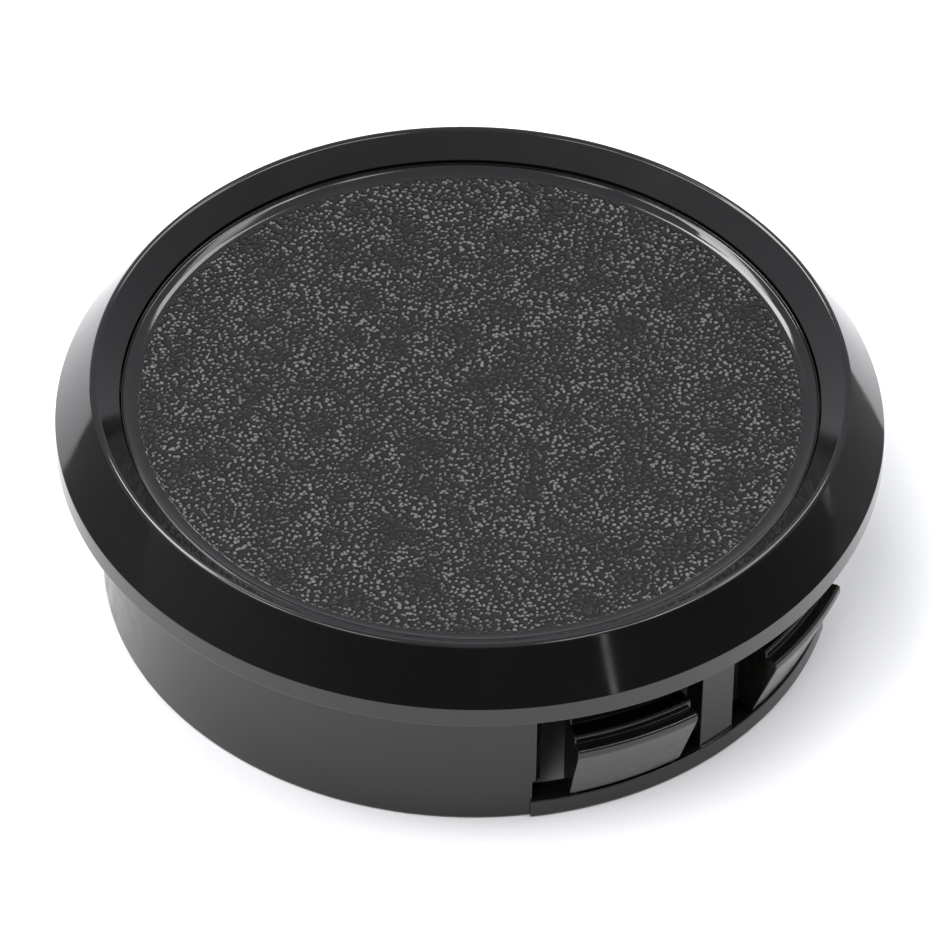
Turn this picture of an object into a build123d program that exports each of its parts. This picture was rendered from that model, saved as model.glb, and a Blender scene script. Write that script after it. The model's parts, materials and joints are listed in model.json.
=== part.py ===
from build123d import *
import os
from math import asin, cos, degrees, radians, sin, tan

# A round snap-in desk grommet: a sleeve with a bevelled flange, a lift-out cap
# and four snap latches in two opposed pairs. Millimetres. Z is up. The origin is
# on the axis at the underside of the flange, where it meets the panel.

# Hole that the sleeve drops into
hole_diameter = 63.5
hole_gap = 0.25  # radial gap between the land and the hole
land_height = 2.0  # full-round locating land under the flange

# Flange and bezel
flange_overhang = 3.75  # how far the flange covers the panel past the hole
band_height = 2.0  # upright outer edge of the flange
bevel_width = 3.2  # outer slope, from the band in to the crest
bevel_height = 4.75
crest_radius = 0.45
inner_slope_width = 2.3  # from the crest in to the cap's seat
inner_slope_angle = 41.0  # from horizontal
edge_break = 0.2
rim_width = 1.2  # seating rim left outside the moulding groove
groove_width = 1.5
groove_depth = 2.0

# Skirt
skirt_depth = 14.95
skirt_step = 0.05  # the skirt stands this far inside the land
skirt_draft = 0.1  # how much smaller its foot is
skirt_wall = 2.0
foot_chamfer = 0.3

# Seat for the cap
ledge_width = 1.7
ledge_thickness = 1.6
cap_gap = 0.12  # seam between the cap and the bezel
seat_gap = 0.05  # between the cap and the ledge it rests on

# Cap
cap_recess = 0.7  # how far the face lies under the bezel's inner edge
cap_thickness = 2.2
dish_radius = 1.2  # blend from the flat face to its raised edge
ring_gap = 0.15
ring_wall = 1.6
ring_depth = 3.8
rib_count = 12  # small upright ribs that steady the ring in the sleeve
rib_width = 0.8
rib_gap = 0.04

# Windows, two side by side at each end of the X axis
window_side_gap = 2.35  # each side of a latch
window_top_gap = 0.2  # under the land
window_edge_chamfer = 0.5  # on the upright edge away from the post
post_width = 3.7
sill_height = 1.85
sill_proud = 0.3  # the sill stands out from the skirt's foot
sill_run_out = 0.15  # the proud sill runs on past the windows
relief_height = 2.1  # slot let wider just above the sill
relief_width = 0.75  # how much wider, away from the post

# Latches
latch_width = 10.35
latch_inner_gap = 0.5  # from the skirt's inner wall out to the latch's back
root_gap = 0.25  # shadow line between a latch and the sill
root_inset = 0.1  # the latch's root stands this far inside the sill's face
root_relief = 0.7  # back of the root cut away so that it clears the sill as it bends
tooth_reach = 2.45  # tooth past the land
step_reach = 1.35  # upper step past the land
nose_setback = 0.2  # nose above the steps, inside the land
grip_depth = 4.85  # upper step, under the flange
step_height = 0.8  # from the upper step down to the tooth
tooth_land = 0.8  # upright face below the tooth's edge
nose_height = 0.95
tooth_rounding = 0.3
step_rounding = 0.3
nose_rounding = 0.3
core_wall = 1.35  # wall left round the pocket in the latch's back
core_height = 5.1
core_top = 0.6  # under the tooth
knuckle_radius = 0.5  # rolled root that turns in a groove in the sill
knuckle_inset = 0.75  # its centre, out from the latch's back
knuckle_setback = 0.5  # each end, in from the latch's side
knuckle_gap = 0.05
knuckle_end_gap = 0.15

# Radii
hole_radius = hole_diameter / 2
land_radius = hole_radius - hole_gap
flange_radius = hole_radius + flange_overhang
crest_ring = flange_radius - bevel_width
seat_radius = crest_ring - inner_slope_width
ledge_radius = seat_radius - ledge_width
skirt_top_radius = land_radius - skirt_step
skirt_foot_radius = skirt_top_radius - skirt_draft
skirt_inner_radius = skirt_foot_radius - skirt_wall
sill_radius = skirt_foot_radius + sill_proud
cap_radius = seat_radius - cap_gap
ring_radius = ledge_radius - ring_gap
tooth_radius = land_radius + tooth_reach
step_radius = land_radius + step_reach
nose_radius = land_radius - nose_setback
latch_back_radius = skirt_inner_radius + latch_inner_gap
root_radius = sill_radius - root_inset
hinge_radius = latch_back_radius + knuckle_inset

# Heights
slope = tan(radians(inner_slope_angle))
crest_level = band_height + bevel_height
bezel_edge_level = crest_level - inner_slope_width * slope
cap_level = bezel_edge_level - cap_recess
cap_edge_level = bezel_edge_level - cap_gap * slope
cap_base_level = cap_level - cap_thickness
ring_level = cap_base_level - ring_depth
ledge_level = cap_base_level - seat_gap
ledge_foot_level = ledge_level - ledge_thickness
foot_level = -skirt_depth
sill_level = foot_level + sill_height
window_top_level = -land_height - window_top_gap
window_height = window_top_level - sill_level
step_level = -grip_depth
tooth_level = step_level - step_height
nose_level = step_level + nose_height
land_foot_level = tooth_level - tooth_land
root_level = sill_level + root_gap

# Angles round the axis
latch_half_angle = degrees(asin(latch_width / 2 / skirt_foot_radius))
core_half_angle = latch_half_angle - degrees(core_wall / skirt_foot_radius)
window_half_angle = degrees(asin((latch_width / 2 + window_side_gap) / skirt_foot_radius))
post_half_angle = degrees(asin(post_width / 2 / skirt_foot_radius))
window_offset = window_half_angle + post_half_angle
relief_half_angle = window_half_angle + degrees(relief_width / skirt_foot_radius)
sill_half_angle = window_offset + relief_half_angle + degrees(sill_run_out / sill_radius)
windows = [(side + way * window_offset, way) for side in (0, 180) for way in (-1, 1)]
window_angles = [angle for angle, way in windows]


def polar(radius, angle):
    """Point at this distance and angle from a sketch's origin."""
    return (radius * cos(radians(angle)), radius * sin(radians(angle)))


def radial_plane(angle):
    """Upright plane through the axis: its X is the radius and its Y is the height."""
    return Plane(origin=(0, 0, 0), x_dir=(*polar(1, angle), 0), z_dir=(*polar(1, angle - 90), 0))


def corner(sketch, point):
    """The vertex of an outline at this point."""
    return sketch.vertices().sort_by_distance(Vector(*point))[0]


# Sleeve: flange, bezel, cap seat and skirt are one turned outline
groove_outer = flange_radius - rim_width
groove_inner = groove_outer - groove_width
crest = (crest_ring, crest_level)
sleeve_outline = [
    (land_radius, 0),
    (groove_inner, 0),
    (groove_inner, groove_depth),
    (groove_outer, groove_depth),
    (groove_outer, 0),
    (flange_radius, 0),
    (flange_radius, band_height),
    crest,
    (seat_radius, bezel_edge_level),
    (seat_radius, ledge_level),
    (ledge_radius, ledge_level),
    (ledge_radius, ledge_foot_level),
    (skirt_inner_radius, ledge_foot_level - (skirt_inner_radius - ledge_radius)),
    (skirt_inner_radius, foot_level),
    (skirt_foot_radius - foot_chamfer, foot_level),
    (skirt_foot_radius, foot_level + foot_chamfer),
    (skirt_top_radius, -land_height),
    (land_radius, -land_height),
]
sill_outline = [
    (skirt_inner_radius, foot_level),
    (sill_radius - foot_chamfer, foot_level),
    (sill_radius, foot_level + foot_chamfer),
    (sill_radius, sill_level),
    (skirt_inner_radius, sill_level),
]

break_radius = skirt_foot_radius - window_edge_chamfer
clear_radius = flange_radius
flare = degrees((clear_radius - break_radius) / clear_radius)
groove_half = latch_width / 2 - knuckle_setback + knuckle_end_gap

with BuildPart() as sleeve:
    with BuildSketch(Plane.XZ) as outline:
        with BuildLine():
            Polyline(*sleeve_outline, close=True)
        make_face()
        fillet(corner(outline, crest), crest_radius)
        fillet(corner(outline, (flange_radius, band_height)), edge_break)
        fillet(corner(outline, (flange_radius, 0)), edge_break)
        fillet(corner(outline, (seat_radius, bezel_edge_level)), edge_break)
    revolve(axis=Axis.Z)

    # the sill stands proud of the skirt's foot under each pair of windows
    for side in (0, 180):
        with BuildSketch(radial_plane(side - sill_half_angle)):
            with BuildLine():
                Polyline(*sill_outline, close=True)
            make_face()
        revolve(axis=Axis.Z, revolution_arc=2 * sill_half_angle)

    # windows, the upright edge away from the post chamfered
    with BuildSketch(Plane.XY.offset(sill_level + relief_height)):
        for angle, way in windows:
            flares = (flare, 0) if way > 0 else (0, flare)
            with BuildLine():
                Polyline(
                    polar(ledge_radius, angle + window_half_angle),
                    polar(break_radius, angle + window_half_angle),
                    polar(clear_radius, angle + window_half_angle + flares[0]),
                    polar(clear_radius, angle - window_half_angle - flares[1]),
                    polar(break_radius, angle - window_half_angle),
                    polar(ledge_radius, angle - window_half_angle),
                    close=True,
                )
            make_face()
    extrude(amount=window_height - relief_height, mode=Mode.SUBTRACT)

    # the windows are let wider just above the sill, away from the post
    with BuildSketch(Plane.XY.offset(sill_level)):
        for angle, way in windows:
            ends = [angle - way * window_half_angle, angle + way * relief_half_angle]
            with BuildLine():
                Polyline(
                    polar(ledge_radius, max(ends)),
                    polar(clear_radius, max(ends)),
                    polar(clear_radius, min(ends)),
                    polar(ledge_radius, min(ends)),
                    close=True,
                )
            make_face()
    extrude(amount=relief_height, mode=Mode.SUBTRACT)

    # grooves in the sill for the latches' rolled roots
    for angle in window_angles:
        with BuildSketch(radial_plane(angle)):
            with Locations((hinge_radius, sill_level)):
                Circle(knuckle_radius + knuckle_gap)
        extrude(amount=groove_half, both=True, mode=Mode.SUBTRACT)

sleeve.part.label = "sleeve"

# Cap: flat face in a shallow raised edge, with a locating ring underneath
face_edge = cap_radius - (cap_edge_level - cap_level) / slope
cap_outline = [
    (0, cap_level),
    (face_edge, cap_level),
    (cap_radius, cap_edge_level),
    (cap_radius, cap_base_level),
    (ring_radius, cap_base_level),
    (ring_radius, ring_level),
    (ring_radius - ring_wall, ring_level),
    (ring_radius - ring_wall, cap_base_level),
    (0, cap_base_level),
]

with BuildPart() as cap:
    with BuildSketch(Plane.XZ) as outline:
        with BuildLine():
            Polyline(*cap_outline, close=True)
        make_face()
        fillet(corner(outline, (face_edge, cap_level)), dish_radius)
        fillet(corner(outline, (cap_radius, cap_edge_level)), edge_break)
        chamfer(corner(outline, (ring_radius, ring_level)), foot_chamfer)
    revolve(axis=Axis.Z)

    with BuildSketch(Plane.XY.offset(ring_level + 2 * foot_chamfer)):
        with PolarLocations(ring_radius, rib_count):
            Rectangle(2 * (ring_gap - rib_gap), rib_width)
    extrude(amount=ring_depth - 2 * foot_chamfer)

cap.part.label = "cap"

# Latches: a tongue whose outer face slopes out to an upright land and a stepped tooth
tooth = (tooth_radius, tooth_level)
step = (step_radius, step_level)
tongue_outline = [
    (root_radius, root_level),
    (tooth_radius, land_foot_level),
    tooth,
    (step_radius, tooth_level),
    step,
    (nose_radius, step_level),
    (nose_radius, nose_level),
    (latch_back_radius, nose_level),
    (latch_back_radius, root_level + root_relief),
    (hinge_radius, root_level),
]
core_high = tooth_level - core_top
core_low = core_high - core_height
lean = (tooth_radius - root_radius) / (land_foot_level - root_level)
core_outline = [
    (skirt_inner_radius, core_low),
    (root_radius - core_wall + lean * (core_low - root_level), core_low),
    (root_radius - core_wall + lean * (core_high - root_level), core_high),
    (skirt_inner_radius, core_high),
]


def make_latch(angle):
    with BuildPart() as latch:
        with BuildSketch(radial_plane(angle - latch_half_angle)) as outline:
            with BuildLine():
                Polyline(*tongue_outline, close=True)
            make_face()
            fillet(corner(outline, tooth), tooth_rounding)
            fillet(corner(outline, step), step_rounding)
            fillet(corner(outline, (nose_radius, nose_level)), nose_rounding)
            fillet(corner(outline, (latch_back_radius, nose_level)), nose_rounding)
        revolve(axis=Axis.Z, revolution_arc=2 * latch_half_angle)

        # pocket in the back keeps the moulding's wall even
        with BuildSketch(radial_plane(angle - core_half_angle)):
            with BuildLine():
                Polyline(*core_outline, close=True)
            make_face()
        revolve(axis=Axis.Z, revolution_arc=2 * core_half_angle, mode=Mode.SUBTRACT)

        # rolled root
        with BuildSketch(radial_plane(angle)):
            with Locations((hinge_radius, sill_level)):
                Circle(knuckle_radius)
        extrude(amount=latch_width / 2 - knuckle_setback, both=True)
    return latch.part


os.makedirs("parts", exist_ok=True)
export_step(sleeve.part, "parts/sleeve.step")
export_step(cap.part, "parts/cap.step")
for number, angle in enumerate(window_angles, start=1):
    latch = make_latch(angle)
    latch.label = f"latch_{number}"
    export_step(latch, f"parts/latch_{number}.step")
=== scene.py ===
import json
from math import acos, asin, atan2, cos, degrees, hypot, pi, radians, sin, tan

import bmesh
import bpy
from bpy.props import (
    FloatProperty,
    FloatVectorProperty,
    IntProperty,
    PointerProperty,
)
from mathutils import Matrix, Vector


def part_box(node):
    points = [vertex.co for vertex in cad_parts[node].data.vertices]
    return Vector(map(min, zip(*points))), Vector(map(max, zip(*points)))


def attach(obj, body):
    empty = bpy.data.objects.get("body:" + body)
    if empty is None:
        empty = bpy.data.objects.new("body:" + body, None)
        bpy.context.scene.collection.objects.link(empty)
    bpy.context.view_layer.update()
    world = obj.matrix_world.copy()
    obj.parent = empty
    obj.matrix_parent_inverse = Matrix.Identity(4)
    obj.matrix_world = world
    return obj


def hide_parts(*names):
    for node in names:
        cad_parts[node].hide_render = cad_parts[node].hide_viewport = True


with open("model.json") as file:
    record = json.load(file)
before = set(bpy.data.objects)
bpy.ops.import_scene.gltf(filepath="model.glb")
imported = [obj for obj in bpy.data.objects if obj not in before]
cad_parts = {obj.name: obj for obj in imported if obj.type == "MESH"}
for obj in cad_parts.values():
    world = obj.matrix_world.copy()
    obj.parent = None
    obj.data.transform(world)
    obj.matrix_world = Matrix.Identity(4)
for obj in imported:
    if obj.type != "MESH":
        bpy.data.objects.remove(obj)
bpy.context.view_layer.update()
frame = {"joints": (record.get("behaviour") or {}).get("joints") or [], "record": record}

bl_info = {
    "name": "Snap-in Desk Grommet",
    "version": (1, 0, 0),
    "blender": (4, 5, 0),
    "location": "View3D > Sidebar > Grommet",
    "description": "Builds the sleeve, cap and latches of a desk grommet round its CAD frame",
    "category": "Object",
}

MM = 0.001

# The ring of studio panes: degrees right of the camera, degrees up, brightness
PANES = (
    (-158, 52, 13), (-132, 56, 11), (-105, 55, 9), (-78, 58, 8), (-50, 66, 6),
    (52, 66, 7), (77, 58, 9), (102, 55, 5), (127, 56, 4), (155, 52, 7),
)
PANE_DISTANCE = 0.85
PANE_SIZE = (0.22, 0.16)

# What the frame already settles
sleeve_low, sleeve_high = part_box("sleeve")
cap_low, cap_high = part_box("cap")
land = next(m["dims"] for m in frame["record"]["mounts"] if m["name"] == "panel_hole")
latch_joints = [j for j in frame["joints"] if j["type"] == "hinge"]
hinge = Vector(latch_joints[0]["pos_m"])
latch_angles = {j["child"]: degrees(atan2(j["pos_m"][1], j["pos_m"][0])) for j in latch_joints}


def length(name, millimetres, description):
    return FloatProperty(
        name=name, default=millimetres * MM, description=description, unit="LENGTH", precision=5
    )


def share(name, default, description):
    return FloatProperty(
        name=name, default=default, min=0.0, max=1.0, description=description, subtype="FACTOR"
    )


def turn(name, angle, description):
    return FloatProperty(
        name=name, default=radians(angle), description=description, subtype="ANGLE"
    )


def colour(name, default, description):
    return FloatVectorProperty(
        name=name, default=default, min=0.0, max=1.0, description=description, subtype="COLOR"
    )


class SleeveSizes(bpy.types.PropertyGroup):
    """Sizes of the sleeve's section and of its windows"""

    flange_radius: length("Flange radius", sleeve_high.x / MM, "Axis to the flange's edge")
    band_height: length("Band height", 2.0, "Upright outer edge of the flange")
    bevel_width: length("Bevel width", 3.2, "Outer slope, from the band in to the crest")
    bevel_height: length("Bevel height", 4.75, "Outer slope, from the band up to the crest")
    crest_rounding: length("Crest rounding", 0.45, "Radius of the bezel's crest")
    inner_slope: turn("Inner slope", 41.0, "Slope from the crest down to the cap")
    seat_radius: length("Seat radius", 30.0, "Axis to the wall round the cap")
    edge_rounding: length("Edge rounding", 0.2, "Radius of the flange's other edges")
    seam_rounding: length("Seam rounding", 0.08, "Radius of the edge round the cap")
    rim_width: length("Rim width", 1.2, "Seating rim outside the moulding groove")
    groove_width: length("Groove width", 1.5, "Moulding groove under the flange")
    groove_depth: length("Groove depth", 2.0, "Moulding groove under the flange")
    ledge_radius: length("Ledge radius", 28.3, "Axis to the inside of the cap's ledge")
    ledge_level: length("Ledge level", 1.8, "Height of the cap's ledge")
    ledge_thickness: length("Ledge thickness", 1.6, "Upright thickness of the ledge")
    land_radius: length("Land radius", land["r_mm"], "Full-round land that fills the hole")
    land_height: length("Land height", land["length_mm"], "Depth of the land under the flange")
    skirt_step: length("Skirt step", 0.05, "How far the skirt stands inside the land")
    skirt_draft: length("Skirt draft", 0.1, "How much smaller the skirt is at its foot")
    skirt_wall: length("Skirt wall", 2.0, "Thickness of the skirt")
    foot_level: length("Foot level", sleeve_low.z / MM, "Height of the skirt's foot")
    foot_rounding: length("Foot rounding", 0.3, "Radius of the skirt's bottom edge")
    sill_proud: length("Sill proud", 0.3, "How far the sill stands out from the skirt")
    sill_run_out: length("Sill run-out", 0.15, "Proud sill past the windows")
    window_side_gap: length("Window side gap", 2.35, "Gap each side of a latch")
    window_top_gap: length("Window top gap", 0.2, "Wall left under the land")
    window_chamfer: length("Window chamfer", 0.5, "Chamfer on a window's edge away from the post")
    post_width: length("Post width", 3.7, "Post between two windows")
    relief_height: length("Relief height", 2.1, "Height of the wider slot above the sill")
    relief_width: length("Relief width", 0.75, "How much wider, away from the post")


class LatchSizes(bpy.types.PropertyGroup):
    """Sizes of a latch, and of the groove that its root turns in"""

    width: length("Width", 10.35, "Latch width")
    root_gap: length("Root gap", 0.25, "Shadow line between a latch and the sill")
    root_inset: length("Root inset", 0.1, "Root inside the sill's face")
    root_relief: length("Root relief", 0.7, "Back of the root cut away")
    tooth_reach: length("Tooth reach", 2.45, "Tooth past the land")
    step_reach: length("Step reach", 1.35, "Upper step past the land")
    nose_setback: length("Nose setback", 0.2, "Nose inside the land")
    grip_depth: length("Grip depth", 4.85, "Upper step under the flange")
    step_height: length("Step height", 0.8, "From the upper step down to the tooth")
    nose_height: length("Nose height", 0.95, "Nose above the upper step")
    tooth_land: length("Tooth land", 0.8, "Upright face below the tooth's edge")
    tooth_rounding: length("Tooth rounding", 0.3, "Radius of the tooth's edge")
    step_rounding: length("Step rounding", 0.3, "Radius of the step's edge")
    land_rounding: length("Land rounding", 0.8, "Blend from the land into the slope below")
    back_gap: length("Back gap", 0.5, "Skirt's bore to the latch's back")
    core_wall: length("Core wall", 1.35, "Wall round the pocket in the back")
    core_height: length("Core height", 5.1, "Pocket in the back")
    core_top: length("Core top", 0.6, "Tooth down to the pocket")
    knuckle_radius: length("Knuckle radius", 0.5, "Rolled root")
    knuckle_gap: length("Knuckle gap", 0.05, "Clearance round the rolled root")
    knuckle_setback: length("Knuckle setback", 0.5, "Root's ends inside the latch's sides")
    knuckle_end_gap: length("Knuckle end gap", 0.15, "Clearance at the root's ends")


class CapSizes(bpy.types.PropertyGroup):
    """Sizes of the cap and of its pebble grain"""

    cap_radius: length("Cap radius", cap_high.x / MM, "Axis to the cap's edge")
    face_level: length("Face level", 4.0506, "Height of the flat face")
    thickness: length("Thickness", 2.2, "Thickness of the face")
    edge_rise: length("Edge rise", 0.5957, "Raised edge above the face, before its rounding")
    dish_rounding: length("Dish rounding", 2.0, "Blend from the face to its raised edge")
    seam_rounding: length("Seam rounding", 0.08, "Radius of the raised edge")
    edge_rounding: length("Edge rounding", 0.2, "Radius of the cap's lower edges")
    ring_radius: length("Ring radius", 28.15, "Outside of the locating ring")
    ring_wall: length("Ring wall", 1.6, "Thickness of the locating ring")
    ring_rounding: length("Ring rounding", 0.3, "Radius of the ring's lower edge")
    rib_count: IntProperty(name="Ribs", default=12, min=1, description="Ribs round the ring")
    rib_width: length("Rib width", 0.8, "Width of a rib")
    rib_proud: length("Rib proud", 0.11, "How far a rib stands out of the ring")
    rib_setback: length("Rib setback", 0.6, "A rib's ends inside the ring's")
    smooth_margin: length("Smooth margin", 0.02, "Flat rim left smooth round the grain")
    grain_fade: length("Grain fade", 0.15, "Width over which the grain dies out")
    grain_spacing: length("Grain spacing", 0.52, "Distance from pebble to pebble")
    grain_depth: length("Grain depth", 0.08, "Height of a pebble")
    grain_rings: IntProperty(
        name="Grain rings", default=160, min=8, description="Rings of points that carry the grain"
    )
    seed: FloatProperty(name="Seed", default=4.7, description="Which grain is drawn")


class Finishes(bpy.types.PropertyGroup):
    """Colours and surface finish of the black plastic"""

    sleeve_colour: colour("Sleeve", (0.0035, 0.0032, 0.0034), "Polished black")
    skirt_colour: colour("Skirt", (0.0075, 0.0065, 0.0055), "Satin black of the skirt")
    cap_colour: colour("Cap", (0.003, 0.003, 0.0031), "Black between the pebbles")
    # Pale colour painted on the pebbles' tops as a highlight, not the plastic's own colour
    painted_pebble_highlight: colour("Pebbles", (0.1, 0.1, 0.101), "Paler black of the pebbles' tops")
    latch_colour: colour("Latch", (0.0075, 0.0065, 0.0055), "Satin black of the latches")
    polish: share("Polish roughness", 0.07, "Roughness of the flange and bezel")
    satin: share("Satin roughness", 0.2, "Roughness of the skirt and latches")
    grain: share("Grain roughness", 0.32, "Roughness of the pebble grain")
    edge: share("Cap edge roughness", 0.07, "Roughness of the cap's raised edge")


class StageSettings(bpy.types.PropertyGroup):
    """Camera, floor and lights"""

    azimuth: turn("Azimuth", 46.3, "Camera's direction round the grommet")
    elevation: turn("Elevation", 43.54, "Camera's height above the horizon")
    roll: turn("Roll", 1.45, "Camera's roll")
    distance: length("Distance", 1183.0, "Camera to the aim point")
    lens: FloatProperty(name="Lens", default=523.8, description="Focal length in millimetres")
    aim_level: length("Aim level", 2.0, "Height of the aim point on the axis")
    aim_right: length("Aim right", 0.556, "Frame's centre right of the aim point")
    aim_down: length("Aim down", 4.742, "Frame's centre below the aim point")
    floor_radius: length("Floor radius", 3000.0, "Size of the floor")
    front_glow: FloatProperty(name="Front glow", default=0.08, description="Room in front")
    back_glow: FloatProperty(name="Back glow", default=0.75, description="Room above and behind")
    floor_colour: colour("Floor", (0.82, 0.82, 0.83), "Pale floor")


# Meshes


def rounded(corners, steps=5):
    """Points of a closed outline. A corner is (radius, height, rounding), sharp without one."""
    points = []
    for i, (x, y, rounding) in enumerate(corners):
        if not rounding:
            points.append((x, y))
            continue
        here = Vector((x, y))
        back = (Vector(corners[i - 1][:2]) - here).normalized()
        on = (Vector(corners[(i + 1) % len(corners)][:2]) - here).normalized()
        half = acos(max(-1.0, min(1.0, back.dot(on)))) / 2
        centre = here + (back + on).normalized() * rounding / sin(half)
        start = here + back * rounding / tan(half) - centre
        swing = start.angle_signed(here + on * rounding / tan(half) - centre)
        for step in range(steps + 1):
            spoke = Matrix.Rotation(-swing * step / steps, 2) @ start
            points.append(tuple(centre + spoke))
    return points


def arc(centre, radius, start, end, steps=8):
    """Points of an arc in a section, from one angle in degrees to another."""
    angles = [radians(start + (end - start) * i / steps) for i in range(steps + 1)]
    return [(centre[0] + radius * cos(a), centre[1] + radius * sin(a)) for a in angles]


def turned(cells, sectors, place, step):
    """Vertices and faces of a shape turned about Z.

    cells gives the outline of each part of the section, anticlockwise with the radius to the
    right. sectors are (start, end, names of the solid cells) in degrees, in order. place puts a
    point of the section at an angle.
    """
    columns, solid = [], []
    for start, end, names in sectors:
        count = max(1, round((end - start) / step))
        columns += [start + (end - start) * i / count for i in range(count)]
        solid += [names] * count
    closed = abs(sectors[-1][1] - sectors[0][0] - 360) < 1e-6
    if not closed:
        columns.append(sectors[-1][1])
        solid.append(set())
    vertices, faces, index = [], [], {}

    def vertex(point, column):
        key = (point, column % len(columns))
        if key not in index:
            index[key] = len(vertices)
            vertices.append(place(point, columns[key[1]]))
        return index[key]

    for column, names in enumerate(solid):
        edges = {e for n in names for e in zip(cells[n], cells[n][1:] + cells[n][:1])}
        for a, b in sorted(e for e in edges if e[::-1] not in edges):
            corners = [(a, column), (a, column + 1), (b, column + 1), (b, column)]
            faces.append([vertex(*c) for c in corners])
        before = solid[column - 1]
        for name in sorted(before - names):
            faces.append([vertex(p, column) for p in reversed(cells[name])])
        for name in sorted(names - before):
            faces.append([vertex(p, column) for p in cells[name]])
    return vertices, faces


def polar(radius, height, angle):
    return (radius * cos(radians(angle)), radius * sin(radians(angle)), height)


def between(angle, other):
    """Signed turn in degrees from one angle to another, the short way round."""
    return (other - angle + 180) % 360 - 180


def new_piece(name, vertices, faces, material):
    mesh = bpy.data.meshes.new(name)
    mesh.from_pydata(vertices, [], faces)
    mesh.shade_smooth()
    if mesh.validate(verbose=False):
        raise RuntimeError(f"{name}: the mesh had broken faces")
    mesh.materials.append(material)
    piece = bpy.data.objects.new(name, mesh)
    bpy.context.scene.collection.objects.link(piece)
    return piece


def ease_edges(piece, width, above=-1.0):
    """Rounds the sharp edges above a level, and keeps the flats flat."""
    sharp = radians(35)
    mesh = bmesh.new()
    mesh.from_mesh(piece.data)
    weight = mesh.edges.layers.float.new("bevel_weight_edge")
    for edge in mesh.edges:
        if edge.calc_face_angle(0.0) > sharp and min(v.co.z for v in edge.verts) > above:
            edge[weight] = 1.0
    mesh.to_mesh(piece.data)
    mesh.free()
    piece.data.set_sharp_from_angle(angle=sharp)
    bevel = piece.modifiers.new("Eased edges", "BEVEL")
    bevel.width = width
    bevel.segments = 2
    bevel.limit_method = "WEIGHT"
    bevel.use_clamp_overlap = False
    keep_flats(piece)


def keep_flats(piece):
    weighted = piece.modifiers.new("Flat faces", "WEIGHTED_NORMAL")
    weighted.keep_sharp = True


def settle(piece, tree, inputs):
    """Runs a Geometry Nodes tree on a piece and keeps its result as a plain mesh."""
    modifier = piece.modifiers.new(tree.name, "NODES")
    modifier.node_group = tree
    names = {i.name: i.identifier for i in tree.interface.items_tree if i.in_out == "INPUT"}
    for name, value in inputs.items():
        modifier[names[name]] = value
    evaluated = piece.evaluated_get(bpy.context.evaluated_depsgraph_get())
    mesh = bpy.data.meshes.new_from_object(evaluated)
    piece.modifiers.remove(modifier)
    rough = piece.data
    piece.data = mesh
    mesh.name = piece.name
    bpy.data.meshes.remove(rough)


# Node trees


def add(tree, kind, settings=None, **inputs):
    """Adds a node. An input is a socket to link or a value, and _0 and so on go by number."""
    node = tree.nodes.new(kind)
    for name, value in (settings or {}).items():
        setattr(node, name, value)
    for name, value in inputs.items():
        key = int(name[1:]) if name.startswith("_") else name.replace("_", " ")
        socket = node.inputs[key]
        if isinstance(value, bpy.types.NodeSocket):
            tree.links.new(value, socket)
        else:
            socket.default_value = value
    return node


def maths(tree, operation, *values):
    inputs = {f"_{i}": v for i, v in enumerate(values)}
    return add(tree, "ShaderNodeMath", {"operation": operation}, **inputs).outputs[0]


def new_tree(name, inputs):
    """A Geometry Nodes tree with named inputs, and its input and output nodes."""
    tree = bpy.data.node_groups.new(name, "GeometryNodeTree")
    for label, kind in inputs:
        tree.interface.new_socket(label, in_out="INPUT", socket_type=kind)
    tree.interface.new_socket("Geometry", in_out="OUTPUT", socket_type="NodeSocketGeometry")
    return tree, add(tree, "NodeGroupInput").outputs, add(tree, "NodeGroupOutput").inputs


def finish_tree(tree, geometry, material, out):
    """Realize Instances and Set Material close every tree."""
    real = add(tree, "GeometryNodeRealizeInstances", Geometry=geometry)
    done = add(tree, "GeometryNodeSetMaterial", Geometry=real.outputs[0], Material=material)
    tree.links.new(done.outputs[0], out[0])


def pebbles(tree, where, spacing, seed):
    """Height of the pebble grain, from about 0 to 1, at a place on the cap's face."""
    cells = add(tree, "ShaderNodeVectorMath", {"operation": "SCALE"}, _0=where)
    density = maths(tree, "DIVIDE", 1.0, spacing)
    tree.links.new(density, cells.inputs["Scale"])
    start = add(tree, "ShaderNodeCombineXYZ", X=seed, Y=seed).outputs[0]
    cells = add(tree, "ShaderNodeVectorMath", _0=cells.outputs[0], _1=start).outputs[0]

    # pushed out of line so that no row shows, and bolder in some patches than in others
    drift = add(
        tree, "ShaderNodeTexNoise", {"noise_dimensions": "2D"}, Vector=cells, Scale=0.7, Detail=1.0
    ).outputs["Color"]
    push = add(tree, "ShaderNodeVectorMath", {"operation": "SCALE"}, _0=drift, Scale=0.7)
    moved = add(tree, "ShaderNodeVectorMath", _0=cells, _1=push.outputs[0]).outputs[0]
    distance = add(
        tree, "ShaderNodeTexVoronoi", {"voronoi_dimensions": "2D", "feature": "SMOOTH_F1"},
        Vector=moved, Scale=1.0, Smoothness=0.12, Randomness=1.0,
    ).outputs["Distance"]
    dome = add(
        tree, "ShaderNodeMapRange", {"interpolation_type": "SMOOTHSTEP"},
        Value=distance, From_Min=0.65, From_Max=0.05,
    ).outputs[0]
    patches = add(
        tree, "ShaderNodeTexNoise", {"noise_dimensions": "2D"},
        Vector=cells, Scale=0.18, Detail=2.0,
    ).outputs[0]
    return maths(tree, "MULTIPLY", dome, maths(tree, "MULTIPLY_ADD", patches, 1.2, 0.25))


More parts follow.
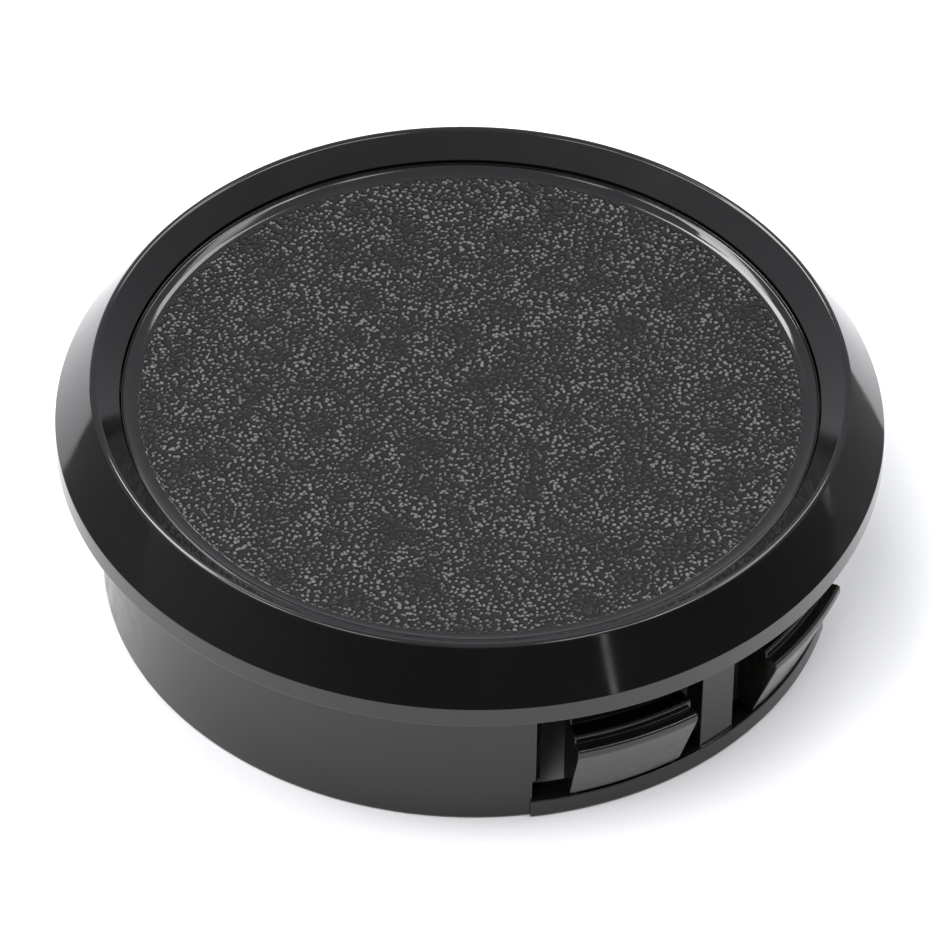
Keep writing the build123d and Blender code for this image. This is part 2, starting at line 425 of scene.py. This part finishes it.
def grain_and_ribs_tree():
    """Raises the pebble grain where the grain attribute says, and sets ribs round the ring."""
    tree, given, out = new_tree(
        "Grain and ribs",
        [
            ("Geometry", "NodeSocketGeometry"),
            ("Spacing", "NodeSocketFloat"),
            ("Depth", "NodeSocketFloat"),
            ("Seed", "NodeSocketFloat"),
            ("Ribs", "NodeSocketInt"),
            ("Rib circle", "NodeSocketFloat"),
            ("Rib level", "NodeSocketFloat"),
            ("Rib size", "NodeSocketVector"),
            ("Material", "NodeSocketMaterial"),
        ],
    )
    where = add(tree, "GeometryNodeInputPosition").outputs[0]
    height = pebbles(tree, where, given["Spacing"], given["Seed"])
    weight = add(
        tree, "GeometryNodeInputNamedAttribute", {"data_type": "FLOAT"}, Name="grain"
    ).outputs["Attribute"]
    lift = maths(tree, "MULTIPLY", maths(tree, "MULTIPLY", height, given["Depth"]), weight)
    offset = add(tree, "ShaderNodeCombineXYZ", Z=lift).outputs[0]
    grained = add(tree, "GeometryNodeSetPosition", Geometry=given["Geometry"], Offset=offset)

    circle = add(
        tree, "GeometryNodeMeshCircle", Vertices=given["Ribs"], Radius=given["Rib circle"]
    ).outputs[0]
    facing = add(
        tree, "FunctionNodeAlignRotationToVector", {"axis": "X"},
        Vector=add(tree, "GeometryNodeInputPosition").outputs[0],
    ).outputs[0]
    rib = add(tree, "GeometryNodeMeshCube", Size=given["Rib size"]).outputs[0]
    ribs = add(
        tree, "GeometryNodeInstanceOnPoints", Points=circle, Instance=rib, Rotation=facing
    ).outputs[0]
    level = add(tree, "ShaderNodeCombineXYZ", Z=given["Rib level"]).outputs[0]
    ribs = add(tree, "GeometryNodeTransform", Geometry=ribs, Translation=level).outputs[0]
    join = add(tree, "GeometryNodeJoinGeometry")
    tree.links.new(ribs, join.inputs[0])
    tree.links.new(grained.outputs[0], join.inputs[0])
    finish_tree(tree, join.outputs[0], given["Material"], out)
    return tree


def place_latch_tree():
    """Turns a copy of the latch round the axis to its own window."""
    tree, given, out = new_tree(
        "Place latch",
        [
            ("Geometry", "NodeSocketGeometry"),
            ("Angle", "NodeSocketFloat"),
            ("Material", "NodeSocketMaterial"),
        ],
    )
    rotation = add(tree, "ShaderNodeCombineXYZ", Z=given["Angle"]).outputs[0]
    placed = add(tree, "GeometryNodeTransform", Geometry=given["Geometry"], Rotation=rotation)
    finish_tree(tree, placed.outputs[0], given["Material"], out)
    return tree


# Materials


class Finish:
    """A material's node tree, with the sockets that every black plastic here needs."""

    def __init__(self, name):
        self.material = bpy.data.materials.new(name)
        self.material.use_nodes = True
        self.tree = self.material.node_tree
        self.shader = self.tree.nodes["Principled BSDF"]
        self.where = self.add("ShaderNodeTexCoord").outputs["Object"]
        parts = self.add("ShaderNodeSeparateXYZ", Vector=self.where).outputs
        self.height = parts["Z"]
        squares = [self.maths("MULTIPLY", parts[axis], parts[axis]) for axis in "XY"]
        self.radius = self.maths("SQRT", self.maths("ADD", *squares))

    def add(self, kind, settings=None, **inputs):
        return add(self.tree, kind, settings, **inputs)

    def maths(self, operation, *values):
        return maths(self.tree, operation, *values)

    def noise(self, size, detail=2.0, stretch=None, roughness=0.5):
        """Noise whose blotches are about this large, in metres."""
        where = self.where
        if stretch:
            where = self.add("ShaderNodeMapping", Vector=where, Scale=stretch).outputs[0]
        return self.add(
            "ShaderNodeTexNoise", Vector=where, Scale=1 / size, Detail=detail, Roughness=roughness
        ).outputs["Fac"]

    def ramp(self, value, low, high, start=0.0, end=1.0):
        """Carries a value from one range to another, smoothly and no further."""
        return self.add(
            "ShaderNodeMapRange", {"interpolation_type": "SMOOTHSTEP"},
            Value=value, From_Min=low, From_Max=high, To_Min=start, To_Max=end,
        ).outputs[0]

    def mix(self, factor, one, other):
        """Mixes two numbers."""
        node = self.add("ShaderNodeMix", {"data_type": "FLOAT"}, _0=factor, _2=one, _3=other)
        return node.outputs[0]

    def mix_colours(self, factor, one, other):
        node = self.add("ShaderNodeMix", {"data_type": "RGBA"}, _0=factor)
        for key, value in ((6, one), (7, other)):
            if isinstance(value, bpy.types.NodeSocket):
                self.tree.links.new(value, node.inputs[key])
            else:
                node.inputs[key].default_value = (*value, 1.0)
        return node.outputs[2]

    def shades(self, tint, size, spread=0.3):
        """A colour that drifts a little lighter and darker from place to place."""
        dark = [c * (1 - spread) for c in tint]
        light = [c * (1 + spread) for c in tint]
        return self.mix_colours(self.noise(size, 3.0), dark, light)

    def bump(self, height, distance, strength=1.0, normal=None):
        """Height is 0 to 1 over a distance in metres."""
        inputs = {"Height": height, "Distance": distance, "Strength": strength}
        if normal is not None:
            inputs["Normal"] = normal
        return self.add("ShaderNodeBump", **inputs).outputs[0]

    def surface(self, base, roughness, normal, ior=1.5):
        for name, value in (("Base Color", base), ("Roughness", roughness), ("Normal", normal)):
            self.tree.links.new(value, self.shader.inputs[name])
        self.shader.inputs["IOR"].default_value = ior
        return self.material


def sleeve_finish(finishes):
    """Polished above the panel, satin below it."""
    f = Finish("Polished and satin black")
    top = f.ramp(f.height, -0.4 * MM, 0.1 * MM)
    base = f.mix_colours(
        top,
        f.shades(finishes.skirt_colour, 4 * MM),
        f.shades(finishes.sleeve_colour, 6 * MM),
    )
    satin = f.ramp(f.noise(1.5 * MM, 3.0), 0.3, 0.7, finishes.satin - 0.05, finishes.satin + 0.05)
    polish = f.ramp(f.noise(5 * MM, 4.0), 0.3, 0.7, finishes.polish - 0.02, finishes.polish + 0.03)
    wave = f.bump(f.noise(3.5 * MM, 1.0), 0.006 * MM)
    texture = f.bump(f.noise(0.14 * MM, 2.0), 0.004 * MM, f.mix(top, 0.6, 0.05), wave)
    return f.surface(base, f.mix(top, satin, polish), texture)


def latch_finish(finishes):
    """Satin, with the fine upright lines that the mould leaves."""
    f = Finish("Satin black")
    base = f.shades(finishes.latch_colour, 2 * MM)
    satin = f.ramp(f.noise(1.2 * MM, 3.0), 0.3, 0.7, finishes.satin - 0.06, finishes.satin + 0.05)
    lines = f.noise(0.3 * MM, 2.0, stretch=(1.0, 1.0, 0.12))
    texture = f.bump(lines, 0.01 * MM, 0.5)
    return f.surface(base, satin, f.bump(f.noise(0.14 * MM), 0.004 * MM, 0.6, texture))


def cap_finish(finishes, cap, face_radius):
    """Matt pebble grain with a highlight painted pale on its tops, inside a polished raised edge.
    """
    f = Finish("Grained black")
    inside = f.ramp(f.radius, face_radius, face_radius - cap.grain_fade)
    above = f.ramp(f.height, cap.face_level - 0.5 * MM, cap.face_level - 0.2 * MM)
    grained = f.maths("MULTIPLY", inside, above)
    pebble = f.maths("MULTIPLY", grained, pebbles(f.tree, f.where, cap.grain_spacing, cap.seed))
    tops = f.ramp(pebble, 0.42, 1.0)
    # The pebbles' tops get a painted highlight in their colour; the lower roughness on the tops is
    # real
    grain_black_with_painted_highlight = f.mix_colours(
        tops, f.shades(finishes.cap_colour, 1.5 * MM), f.shades(finishes.painted_pebble_highlight, 0.6 * MM)
    )
    base = f.mix_colours(grained, f.shades(finishes.sleeve_colour, 6 * MM), grain_black_with_painted_highlight)
    matt = f.mix(tops, finishes.grain + 0.12, finishes.grain - 0.08)
    edge = f.ramp(f.noise(4 * MM, 3.0), 0.3, 0.7, finishes.edge - 0.03, finishes.edge + 0.04)
    fine = f.bump(f.noise(0.22 * MM, 2.0), 0.03 * MM, f.maths("MULTIPLY", grained, 0.6))
    texture = f.bump(pebble, cap.grain_depth * 1.2, 1.0, fine)
    gloss = f.mix(grained, 0.5, 0.18)
    f.tree.links.new(gloss, f.shader.inputs["Specular IOR Level"])
    return f.surface(base, f.mix(grained, edge, matt), texture)


# Pieces


def half_angle(width, radius):
    """Half the angle that a width takes up on a circle."""
    return degrees(asin(width / 2 / radius))


def root_groove(latch, slack):
    """Centre and radius of the rolled root, or with slack of the groove it turns in."""
    return (hypot(hinge.x, hinge.y), hinge.z), latch.knuckle_radius + slack


def sleeve_cells(s, latch):
    """Section of the sleeve, cut into the cells that the windows take away."""
    crest_ring = s.flange_radius - s.bevel_width
    crest_level = s.band_height + s.bevel_height
    bezel_edge = crest_level - (crest_ring - s.seat_radius) * tan(s.inner_slope)
    groove_outer = s.flange_radius - s.rim_width
    groove_inner = groove_outer - s.groove_width
    skirt_top = s.land_radius - s.skirt_step
    skirt_foot = skirt_top - s.skirt_draft
    bore = skirt_foot - s.skirt_wall
    wall_break = skirt_foot - s.window_chamfer
    sill_face = skirt_foot + s.sill_proud
    sill_level = hinge.z
    slot_level = sill_level + s.relief_height
    wall_level = -s.land_height - s.window_top_gap
    ledge_foot = s.ledge_level - s.ledge_thickness

    def face(level):
        """Point on the skirt's outer face, which tapers to the foot."""
        down = (level + s.land_height) / (s.foot_level + s.land_height)
        return (skirt_top - s.skirt_draft * down, level)

    ease = s.edge_rounding
    crown = rounded(
        [
            (bore, wall_level, 0),
            (wall_break, wall_level, 0),
            (*face(wall_level), 0),
            (skirt_top, -s.land_height, 0),
            (s.land_radius, -s.land_height + 3 * s.skirt_step, 0),
            (s.land_radius, 0, ease / 2),
            (groove_inner, 0, ease / 2),
            (groove_inner, s.groove_depth, ease),
            (groove_outer, s.groove_depth, ease),
            (groove_outer, 0, ease / 2),
            (s.flange_radius, 0, ease),
            (s.flange_radius, s.band_height, ease),
            (crest_ring, crest_level, s.crest_rounding),
            (s.seat_radius, bezel_edge, s.seam_rounding),
            (s.seat_radius, s.ledge_level, 0),
            (s.ledge_radius, s.ledge_level, ease),
            (s.ledge_radius, ledge_foot, ease),
            (bore, ledge_foot - (bore - s.ledge_radius), ease),
        ]
    )
    centre, radius = root_groove(latch, latch.knuckle_gap)
    groove = arc(centre, radius, 180, 360)
    foot_edge = rounded(
        [(bore, s.foot_level, 0), (skirt_foot, s.foot_level, s.foot_rounding), (*face(0), 0)]
    )[1:-1]
    sill_edge = rounded(
        [(bore, s.foot_level, 0), (sill_face, s.foot_level, s.foot_rounding), (sill_face, 0, 0)]
    )[1:-1]
    outer, slot = face(sill_level), face(slot_level)
    inner = (bore, sill_level)
    cells = {
        "crown": crown,
        "wall": [(bore, slot_level), (wall_break, slot_level), (wall_break, wall_level),
                 (bore, wall_level)],
        "wall_face": [(wall_break, slot_level), slot, face(wall_level), (wall_break, wall_level)],
        "low_wall": [inner, groove[0], groove[-1], outer, slot, (wall_break, slot_level),
                     (bore, slot_level)],
        "bead": groove,
        "foot": [(bore, s.foot_level), *foot_edge, outer, *reversed(groove), inner],
        "proud": [foot_edge[0], *sill_edge, (sill_face, sill_level), outer,
                  *reversed(foot_edge[1:])],
    }
    flared = {slot, face(wall_level)}
    return cells, flared, set(groove), skirt_foot


def build_sleeve(s, latch, material):
    cells, flared, straight, skirt_foot = sleeve_cells(s, latch)
    window = half_angle(latch.width + 2 * s.window_side_gap, skirt_foot)
    slot = window + degrees(s.relief_width / skirt_foot)
    flare = degrees(s.window_chamfer / skirt_foot)
    groove = half_angle(
        latch.width - 2 * latch.knuckle_setback + 2 * latch.knuckle_end_gap,
        hypot(hinge.x, hinge.y),
    )
    offset = window + half_angle(s.post_width, skirt_foot)
    sill = offset + slot + degrees(s.sill_run_out / skirt_foot)
    windows = list(latch_angles.values())

    def nearest(angle):
        """Turn from the nearest window's middle, away from its post, and which way that is."""
        middle = min(windows, key=lambda w: abs(between(w, angle)))
        way = 1 if sin(2 * radians(middle)) > 0 else -1
        return between(middle, angle) * way, way

    def place(point, angle):
        radius, height = point
        away, way = nearest(angle)
        if point in flared and abs(away - window) < 1e-3:
            angle += flare * way
        if point in straight and abs(away) < groove + 1e-3:
            radius /= cos(radians(away))
        return polar(radius, height, angle)

    breaks = {side + way * sill for side in (0, 180) for way in (-1, 1)}
    for middle in windows:
        way = nearest(middle)[1]
        breaks |= {middle + way * turn for turn in (-window, -groove, groove, window, slot)}
    breaks = sorted(b % 360 for b in breaks)
    sectors = []
    for start, end in zip(breaks, breaks[1:] + [breaks[0] + 360]):
        middle = (start + end) / 2
        away = nearest(middle)[0]
        names = {"crown", "foot"}
        if min(abs(between(side, middle)) for side in (0, 180)) < sill:
            names.add("proud")
        if abs(away) > groove:
            names.add("bead")
        if abs(away) > window:
            names |= {"wall", "wall_face"}
        if away > slot or away < -window:
            names.add("low_wall")
        sectors.append((start, end, names))
    piece = new_piece("grommet_sleeve", *turned(cells, sectors, place, 1.4), material)
    ease_edges(piece, 0.07 * MM, s.foot_level + s.foot_rounding + 0.05 * MM)
    return piece


def latch_mesh(s, latch):
    """Vertices and faces of one latch, pointing along +X."""
    skirt_foot = s.land_radius - s.skirt_step - s.skirt_draft
    back = skirt_foot - s.skirt_wall + latch.back_gap
    root = skirt_foot + s.sill_proud - latch.root_inset
    tooth = s.land_radius + latch.tooth_reach
    step = s.land_radius + latch.step_reach
    nose = s.land_radius - latch.nose_setback
    root_level = hinge.z + latch.root_gap
    step_level = -latch.grip_depth
    tooth_level = step_level - latch.step_height
    nose_level = step_level + latch.nose_height
    core_high = tooth_level - latch.core_top
    core_low = core_high - latch.core_height
    land_foot = tooth_level - latch.tooth_land
    lean = (tooth - root) / (land_foot - root_level)

    def core_face(level):
        return (root - latch.core_wall + lean * (level - root_level), level)

    # where the rolled root meets the underside and the relieved back
    centre, radius = root_groove(latch, 0)
    start = degrees(asin(latch.root_gap / radius))
    run = centre[0] - back
    a = run**2 + latch.root_relief**2
    b = latch.root_gap * latch.root_relief
    c = latch.root_gap**2 - radius**2
    meet = ((b * b - a * c) ** 0.5 - b) / a
    left = (centre[0] - run * meet, root_level + latch.root_relief * meet)
    end = 180 - degrees(asin((left[1] - centre[1]) / radius))
    root_arc = [left, *arc(centre, radius, end, 360 + start, 14)[1:]]

    ease = latch.tooth_rounding
    pocket = [(back, core_low), core_face(core_low), core_face(core_high), (back, core_high)]
    tongue = rounded(
        [
            (centre[0], root_level, 0),
            (*root_arc[-1], 0),
            (root, root_level, 0),
            (tooth, land_foot, latch.land_rounding),
            (tooth, tooth_level, ease),
            (step, tooth_level, 0),
            (step, step_level, latch.step_rounding),
            (nose, step_level, 0),
            (nose, nose_level, ease),
            (back, nose_level, ease),
            *((*p, 0) for p in reversed(pocket)),
            (back, root_level + latch.root_relief, 0),
            (*left, 0),
        ]
    )
    cells = {"tongue": tongue, "core": pocket, "root": [*root_arc, (centre[0], root_level)]}
    half = half_angle(latch.width, skirt_foot)
    core = half - degrees(latch.core_wall / skirt_foot)
    knuckle = half_angle(latch.width - 2 * latch.knuckle_setback, centre[0])

    def place(point, angle):
        radius, height = point
        if point in root_arc and abs(angle) < knuckle + 1e-3:
            radius /= cos(radians(angle))
        return polar(radius, height, angle)

    sectors = [
        (-half, -knuckle, {"tongue", "core"}),
        (-knuckle, -core, {"tongue", "core", "root"}),
        (-core, core, {"tongue", "root"}),
        (core, knuckle, {"tongue", "core", "root"}),
        (knuckle, half, {"tongue", "core"}),
    ]
    return turned(cells, sectors, place, 0.8)


def stitch(faces, inner, outer):
    """Faces between two rings of points, whatever their counts."""
    if len(inner) == len(outer):
        for i in range(len(inner)):
            j = (i + 1) % len(inner)
            faces.append((inner[i], outer[i], outer[j], inner[j]))
        return
    i = j = 0
    while i < len(inner) or j < len(outer):
        if j < len(outer) and (i == len(inner) or (j + 1) * len(inner) <= (i + 1) * len(outer)):
            faces.append((inner[i % len(inner)], outer[j], outer[(j + 1) % len(outer)]))
            j += 1
        else:
            here, after = inner[i], inner[(i + 1) % len(inner)]
            faces.append((here, outer[j % len(outer)], after))
            i += 1


def cap_rings(c):
    """Rings of the cap from the middle of its face round to the underside's middle."""
    slope = grommet().sleeve.inner_slope
    base = c.face_level - c.thickness
    fold = c.cap_radius - c.edge_rise / tan(slope)
    ring_inner = c.ring_radius - c.ring_wall
    section = rounded(
        [
            (0, c.face_level, 0),
            (fold, c.face_level, c.dish_rounding),
            (c.cap_radius, c.face_level + c.edge_rise, c.seam_rounding),
            (c.cap_radius, base, c.edge_rounding),
            (c.ring_radius, base, c.edge_rounding),
            (c.ring_radius, cap_low.z, c.ring_rounding),
            (ring_inner, cap_low.z, c.ring_rounding),
            (ring_inner, base, c.edge_rounding),
            (0, base, 0),
        ]
    )
    return section[1:-1]


def build_cap(c, material):
    section = cap_rings(c)
    face_radius = section[0][0] - c.smooth_margin
    vertices, faces, weights = [(0, 0, c.face_level)], [], [1.0]
    ring = None
    circles = [
        (face_radius * k / c.grain_rings, c.face_level, 6 * k) for k in range(1, c.grain_rings + 1)
    ]
    circles += [(radius, height, 240) for radius, height in section]
    for radius, height, count in circles:
        grained = min(1.0, max(0.0, (face_radius - radius) / c.grain_fade))
        first = len(vertices)
        vertices += [polar(radius, height, 360 * i / count) for i in range(count)]
        weights += [grained if height == c.face_level else 0.0] * count
        outer = range(first, first + count)
        if ring is None:
            faces += [(0, outer[i], outer[(i + 1) % count]) for i in range(count)]
        else:
            stitch(faces, ring, outer)
        ring = outer
    faces.append(tuple(reversed(ring)))
    piece = new_piece("grommet_cap", vertices, faces, material)
    piece.data.attributes.new("grain", "FLOAT", "POINT").data.foreach_set("value", weights)
    ring_height = c.face_level - c.thickness - cap_low.z
    rib = Vector((2 * c.rib_proud, c.rib_width, ring_height - c.rib_setback))
    inputs = {
        "Spacing": c.grain_spacing,
        "Depth": c.grain_depth,
        "Seed": c.seed,
        "Ribs": c.rib_count,
        "Rib circle": c.ring_radius,
        "Rib level": cap_low.z + c.rib_setback + rib.z / 2,
        "Rib size": rib,
        "Material": material,
    }
    settle(piece, grain_and_ribs_tree(), inputs)
    keep_flats(piece)
    return piece


# Operators


def grommet():
    return bpy.context.scene.grommet


class GROMMET_OT_sleeve(bpy.types.Operator):
    """Build the sleeve: flange, bezel, skirt, windows and sills"""

    bl_idname = "grommet.sleeve"
    bl_label = "Sleeve"

    def execute(self, context):
        sizes = grommet()
        piece = build_sleeve(sizes.sleeve, sizes.latch, sleeve_finish(sizes.finishes))
        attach(piece, "sleeve_body")
        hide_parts("sleeve")
        return {"FINISHED"}


class GROMMET_OT_cap(bpy.types.Operator):
    """Build the cap: pebble-grained face, raised edge, locating ring and ribs"""

    bl_idname = "grommet.cap"
    bl_label = "Cap"

    def execute(self, context):
        sizes = grommet()
        face_radius = cap_rings(sizes.cap)[0][0] - sizes.cap.smooth_margin
        piece = build_cap(sizes.cap, cap_finish(sizes.finishes, sizes.cap, face_radius))
        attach(piece, "cap_body")
        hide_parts("cap")
        return {"FINISHED"}


class GROMMET_OT_latches(bpy.types.Operator):
    """Build the snap latches and set each in its window"""

    bl_idname = "grommet.latches"
    bl_label = "Latches"

    def execute(self, context):
        sizes = grommet()
        material = latch_finish(sizes.finishes)
        tree = place_latch_tree()
        shape = latch_mesh(sizes.sleeve, sizes.latch)
        for body, angle in latch_angles.items():
            node = body.removesuffix("_body")
            piece = new_piece(f"grommet_{node}", *shape, material)
            settle(piece, tree, {"Angle": radians(angle), "Material": material})
            ease_edges(piece, 0.08 * MM)
            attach(piece, body)
            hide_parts(node)
        return {"FINISHED"}


def facing(azimuth, elevation):
    """Unit vector from the grommet towards a direction, as the camera's angles name it."""
    return Vector(
        (sin(azimuth) * cos(elevation), -cos(azimuth) * cos(elevation), sin(elevation))
    )


def add_softbox(name, azimuth, elevation, distance, size, brightness):
    """A soft area light, this many degrees to the camera's right and above the floor."""
    light = bpy.data.lights.new(name, "AREA")
    light.shape = "RECTANGLE"
    light.size, light.size_y = size
    light.energy = brightness * pi * size[0] * size[1]
    lamp = bpy.data.objects.new(name, light)
    bpy.context.scene.collection.objects.link(lamp)
    towards = facing(grommet().stage.azimuth + radians(azimuth), radians(elevation))
    lamp.matrix_world = Matrix.Translation(towards * distance) @ (
        towards.to_track_quat("Z", "Y").to_matrix().to_4x4()
    )
    return lamp


def add_card(name, start, end, distance, height):
    """A dark curved card that only the gloss sees, from one angle off the camera to another."""
    panels = 12
    first = degrees(grommet().stage.azimuth) - 90
    columns = [first + start + (end - start) * i / panels for i in range(panels + 1)]
    levels = (sleeve_low.z, sleeve_low.z + height)
    points = [polar(distance, level, angle) for level in levels for angle in columns]
    faces = [(i, i + 1, i + panels + 2, i + panels + 1) for i in range(panels)]
    dark = Finish("Dark card")
    dull = dark.ramp(dark.noise(5 * MM), 0.3, 0.7, 0.8, 0.9)
    dark.surface(dark.shades((0.2, 0.2, 0.2), 5 * MM), dull, dark.bump(dull, 0.01 * MM))
    card = new_piece(name, points, faces, dark.material)
    card.visible_camera = card.visible_diffuse = card.visible_shadow = False


def add_room(stage):
    """A pale backdrop for the camera, and for the lighting a room that is dark in front."""
    world = bpy.data.worlds.new("Studio")
    world.use_nodes = True
    bpy.context.scene.world = world
    tree = world.node_tree
    pale = facing(stage.azimuth + radians(-165), radians(53))
    where = add(tree, "ShaderNodeTexCoord").outputs["Generated"]
    towards = add(
        tree, "ShaderNodeVectorMath", {"operation": "DOT_PRODUCT"}, _0=where, _1=pale
    ).outputs["Value"]
    strength = add(
        tree, "ShaderNodeMapRange", {"interpolation_type": "SMOOTHSTEP"},
        Value=towards, From_Min=-0.2, From_Max=0.7, To_Min=stage.front_glow, To_Max=stage.back_glow,
    ).outputs[0]
    room = tree.nodes["Background"]
    room.inputs["Color"].default_value = (0.92, 0.94, 1.0, 1.0)
    tree.links.new(strength, room.inputs["Strength"])
    seen = add(tree, "ShaderNodeLightPath").outputs["Is Camera Ray"]
    backdrop = add(tree, "ShaderNodeBackground", Color=(0.95, 0.95, 0.95, 1.0), Strength=1.0)
    mix = add(
        tree, "ShaderNodeMixShader", _0=seen, _1=room.outputs[0], _2=backdrop.outputs[0]
    )
    tree.links.new(mix.outputs[0], tree.nodes["World Output"].inputs["Surface"])


class GROMMET_OT_stage(bpy.types.Operator):
    """Set up the camera, the pale floor and the studio lights"""

    bl_idname = "grommet.stage"
    bl_label = "Stage"

    def execute(self, context):
        stage = grommet().stage
        scene = context.scene

        back = facing(stage.azimuth, stage.elevation)
        right = Vector((cos(stage.azimuth), sin(stage.azimuth), 0.0))
        up = back.cross(right)
        aim = Vector((0, 0, stage.aim_level)) + right * stage.aim_right - up * stage.aim_down
        camera = bpy.data.objects.new("Camera", bpy.data.cameras.new("Camera"))
        scene.collection.objects.link(camera)
        camera.data.lens = stage.lens
        camera.data.clip_start, camera.data.clip_end = 0.05, 20.0
        across = right * cos(stage.roll) + up * sin(stage.roll)
        upright = up * cos(stage.roll) - right * sin(stage.roll)
        camera.matrix_world = Matrix.Translation(aim + back * stage.distance) @ (
            Matrix((across, upright, back)).transposed().to_4x4()
        )
        scene.camera = camera

        floor = Finish("Pale floor")
        tint = tuple(stage.floor_colour)
        base = floor.shades(tint, 40 * MM, 0.01)
        dull = floor.ramp(floor.noise(20 * MM), 0.3, 0.7, 0.75, 0.9)
        floor.surface(base, dull, floor.bump(floor.noise(0.5 * MM), 0.02 * MM, 0.2))
        circle = [polar(stage.floor_radius, sleeve_low.z, a) for a in range(0, 360, 5)]
        ground = new_piece("floor", circle, [range(len(circle))], floor.material)

        for azimuth, elevation, brightness in PANES:
            name = f"Pane {azimuth}"
            add_softbox(name, azimuth, elevation, PANE_DISTANCE, PANE_SIZE, brightness)
        add_softbox("Near strip", 37, 22, 1.0, (0.025, 0.5), 2)
        fill = add_softbox("Front fill", -40, 60, 1.2, (1.0, 0.6), 6.5)
        fill.visible_glossy = False
        add_card("left_card", -125, -40, 0.15, 0.035)
        add_card("right_card", 60, 165, 0.085, 0.019)
        add_room(stage)
        scene.view_settings.view_transform = "Standard"
        return {"FINISHED"}


class GrommetSettings(bpy.types.PropertyGroup):
    """Everything that a user would change"""

    sleeve: PointerProperty(type=SleeveSizes, name="Sleeve", description="Sizes of the sleeve")
    latch: PointerProperty(type=LatchSizes, name="Latch", description="Sizes of a latch")
    cap: PointerProperty(type=CapSizes, name="Cap", description="Sizes of the cap")
    finishes: PointerProperty(type=Finishes, name="Finishes", description="Black plastics")
    stage: PointerProperty(type=StageSettings, name="Stage", description="Camera and floor")


class GROMMET_PT_sidebar(bpy.types.Panel):
    """Lists the grommet's settings and the pieces it is built from"""

    bl_idname = "GROMMET_PT_sidebar"
    bl_label = "Snap-in Desk Grommet"
    bl_space_type = "VIEW_3D"
    bl_region_type = "UI"
    bl_category = "Grommet"

    def draw(self, context):
        for name in ("sleeve", "latch", "cap", "finishes", "stage"):
            group = getattr(context.scene.grommet, name)
            box = self.layout.box()
            box.label(text=name.title())
            for setting in group.bl_rna.properties:
                if not setting.is_readonly and setting.identifier != "name":
                    box.prop(group, setting.identifier)
        for operator in (GROMMET_OT_sleeve, GROMMET_OT_cap, GROMMET_OT_latches, GROMMET_OT_stage):
            self.layout.operator(operator.bl_idname)


CLASSES = (
    SleeveSizes,
    LatchSizes,
    CapSizes,
    Finishes,
    StageSettings,
    GrommetSettings,
    GROMMET_OT_sleeve,
    GROMMET_OT_cap,
    GROMMET_OT_latches,
    GROMMET_OT_stage,
    GROMMET_PT_sidebar,
)


def register():
    for item in CLASSES:
        bpy.utils.register_class(item)
    bpy.types.Scene.grommet = PointerProperty(type=GrommetSettings)


def unregister():
    del bpy.types.Scene.grommet
    for item in reversed(CLASSES):
        bpy.utils.unregister_class(item)


def main():
    register()
    bpy.ops.grommet.stage()
    bpy.ops.grommet.sleeve()
    bpy.ops.grommet.cap()
    bpy.ops.grommet.latches()


if __name__ == "__main__":
    main()
